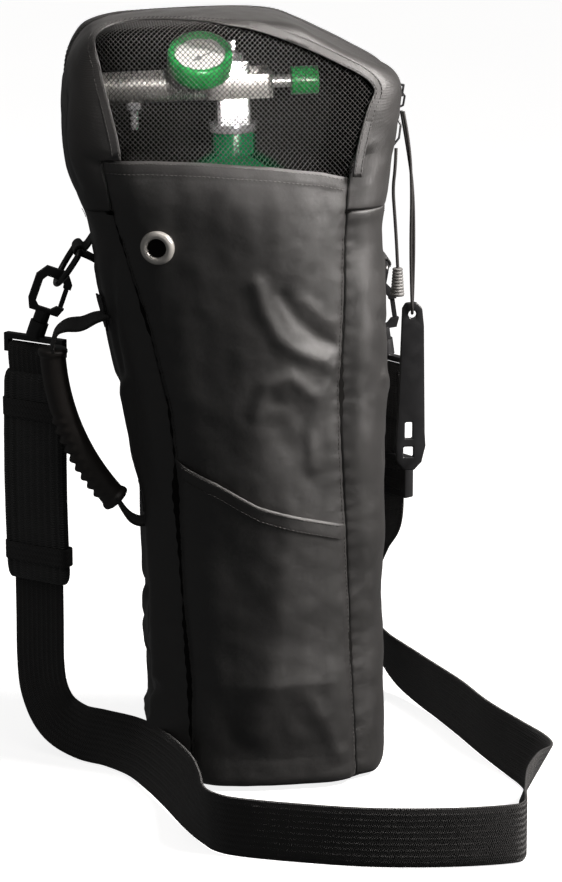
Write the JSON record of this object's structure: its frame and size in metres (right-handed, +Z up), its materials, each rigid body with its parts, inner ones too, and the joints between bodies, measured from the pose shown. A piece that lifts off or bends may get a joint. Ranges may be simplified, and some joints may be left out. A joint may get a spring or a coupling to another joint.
{
  "type": "oxygen cylinder shoulder bag",
  "caption": "Zip-top shoulder bag with net window holding a slim oxygen cylinder, post valve and regulator, with padded strap, carry handle and hanging wrench.",
  "frame": {"origin": "middle of the bag's base, on the floor it stands on", "axes": "+Z up along the bag, +X to the bag's right seen from the front, -Y out of the front panel"},
  "size_m": [0.3402, 0.3555, 0.4918],
  "materials": {
    "nylon": "satin black woven nylon",
    "net": "black knitted net",
    "nickel": "polished nickel",
    "zipper": "black coil zipper tape",
    "zip_metal": "black enamelled zinc",
    "webbing": "ribbed black webbing",
    "green_cylinder": "glossy green paint",
    "valve_chrome": "bright chrome",
    "brass_fitting": "bright brass",
    "aluminium_bar": "satin aluminium",
    "screw_steel": "turned steel",
    "green_plastic": "glossy green moulding",
    "seal": "matt seal",
    "gauge_steel": "plain steel",
    "dial_white": "matt white dial",
    "needle_black": "matt black needle",
    "lens_clear": "clear lens",
    "black_acetal": "satin black moulding",
    "black_steel": "black enamelled wire",
    "pad_rubber": "ribbed black rubber",
    "grip_rubber": "dark grey rubber",
    "cord_black": "thin black cord",
    "tip_rubber": "ribbed grey rubber"
  },
  "bodies": {
    "bag": {"base_panel": "nylon", "front_panel": "nylon", "gusset_left": "nylon", "gusset_right": "nylon", "back_panel": "nylon", "front_pocket": "nylon", "grommet": "nickel", "grommet_washer": "nickel", "zipper_fixed_side": "zipper", "ring_tabs": "webbing", "handle_patches": "webbing", "strap_left_fall": "webbing", "strap_left_turn": "webbing", "strap_front_run": "webbing", "strap_right_loop": "webbing", "strap_rise": "webbing", "strap_right_fall": "webbing", "oxygen_cylinder": "green_cylinder", "valve_body": "valve_chrome", "packing_nut": "valve_chrome", "safety_plug": "brass_fitting", "outlet_barb": "brass_fitting", "yoke": "aluminium_bar", "regulator_body": "aluminium_bar", "gauge_boot": "green_plastic", "inlet_washer": "seal", "gauge_case": "gauge_steel", "gauge_dial": "dial_white", "gauge_lens": "lens_clear", "swivel_base_left": "black_acetal", "swivel_base_right": "black_acetal"},
    "hood": {"hood_front_strip": "nylon", "hood_side_left": "nylon", "hood_side_right": "nylon", "hood_top": "nylon", "mesh_window": "net", "zipper_hood_side": "zipper"},
    "upper_slider": {"zip_slider_upper": "zip_metal", "slider_ring": "zip_metal"},
    "lower_slider": {"zip_slider_lower": "zip_metal", "slider_link": "zip_metal"},
    "wrench_on_cord": {"lanyard": "cord_black", "cylinder_wrench": "black_acetal"},
    "zip_pull": {"pull_cord": "cord_black", "pull_tip": "tip_rubber"},
    "ring_left": {"d_ring_left": "black_steel"},
    "ring_right": {"d_ring_right": "black_steel"},
    "hook_left": {"snap_hook_left": "black_acetal"},
    "hook_right": {"snap_hook_right": "black_acetal"},
    "gate_left": {"hook_gate_left": "black_acetal"},
    "gate_right": {"hook_gate_right": "black_acetal"},
    "handle": {"handle_grip": "grip_rubber", "handle_webbing": "webbing"},
    "pad": {"shoulder_pad": "pad_rubber"},
    "glide": {"tri_glide": "black_acetal"},
    "stem": {"valve_stem": "valve_chrome"},
    "knob": {"flow_knob": "aluminium_bar"},
    "t_screw": {"yoke_screw": "screw_steel", "yoke_screw_knob": "green_plastic"},
    "needle": {"gauge_needle": "needle_black"}
  },
  "joints": [
    {"name": "hood_fold", "type": "hinge", "parent": "bag", "child": "hood", "pos_m": [0, -0.071, 0.37185], "axis": [1, 0, 0], "range_deg": [0, 110]},
    {"name": "upper_slider_run", "type": "slide", "parent": "bag", "child": "upper_slider", "axis": [0.1644, 0, 0.9864], "range_m": [0, 0.006]},
    {"name": "lower_slider_run", "type": "slide", "parent": "bag", "child": "lower_slider", "axis": [0.1644, 0, 0.9864], "range_m": [-0.045, 0]},
    {"name": "wrench_swing", "type": "hinge", "parent": "upper_slider", "child": "wrench_on_cord", "pos_m": [0.09, 0.014, 0.423], "axis": [0, 1, 0], "range_deg": [-70, 0]},
    {"name": "pull_swing", "type": "hinge", "parent": "lower_slider", "child": "zip_pull", "pos_m": [0.0848, 0.0045, 0.401], "axis": [0, 1, 0], "range_deg": [-70, 0]},
    {"name": "ring_left_tilt", "type": "hinge", "parent": "bag", "child": "ring_left", "pos_m": [-0.118, 0.008, 0.338], "axis": [0, 1, 0], "range_deg": [-3, 5]},
    {"name": "ring_right_tilt", "type": "hinge", "parent": "bag", "child": "ring_right", "pos_m": [0.0825, 0.046, 0.318], "axis": [0, 1, 0], "range_deg": [-5, 5]},
    {"name": "hook_left_swivel", "type": "hinge", "parent": "bag", "child": "hook_left", "pos_m": [-0.1435, 0.008, 0.2905], "axis": [0.3353, 0, 0.9421], "range_deg": [-20, 20]},
    {"name": "hook_right_swivel", "type": "hinge", "parent": "bag", "child": "hook_right", "pos_m": [0.0832, 0.046, 0.2653], "axis": [-0.1457, 0, 0.9893], "range_deg": [-20, 8]},
    {"name": "gate_left_open", "type": "hinge", "parent": "hook_left", "child": "gate_left", "pos_m": [-0.12989, 0.008, 0.30072], "axis": [0, 1, 0], "range_deg": [-20, 0], "stiffness_Nm_per_rad": 0.02},
    {"name": "gate_right_open", "type": "hinge", "parent": "hook_right", "child": "gate_right", "pos_m": [0.09039, 0.046, 0.281], "axis": [0, 1, 0], "range_deg": [-20, 0], "stiffness_Nm_per_rad": 0.02},
    {"name": "handle_swing", "type": "hinge", "parent": "bag", "child": "handle", "pos_m": [-0.0775, -0.026, 0.184], "axis": [-0.2314, 0, 0.9729], "range_deg": [-8, 25]},
    {"name": "pad_slide", "type": "slide", "parent": "bag", "child": "pad", "axis": [0, 0, 1], "range_m": [-0.05, 0]},
    {"name": "glide_slide", "type": "slide", "parent": "bag", "child": "glide", "axis": [0, 0, 1], "range_m": [-0.012, 0.04]},
    {"name": "valve_turn", "type": "hinge", "parent": "bag", "child": "stem", "pos_m": [-0.02086, 0.001, 0.45804], "axis": [-0.0262, 0, 0.9997], "range_deg": [0, 270]},
    {"name": "flow_select", "type": "hinge", "parent": "bag", "child": "knob", "pos_m": [-0.10674, 0.001, 0.44079], "axis": [0.9997, 0, 0.0262], "range_deg": [0, 330]},
    {"name": "yoke_screw_turn", "type": "hinge", "parent": "bag", "child": "t_screw", "pos_m": [0.00403, 0.001, 0.44369], "axis": [0.9997, 0, 0.0262], "range_deg": [0, 350]},
    {"name": "needle_sweep", "type": "hinge", "parent": "bag", "child": "needle", "pos_m": [-0.04294, -0.02247, 0.461], "axis": [-0.0214, -0.5736, 0.8189], "range_deg": [-240, 0]}
  ]
}
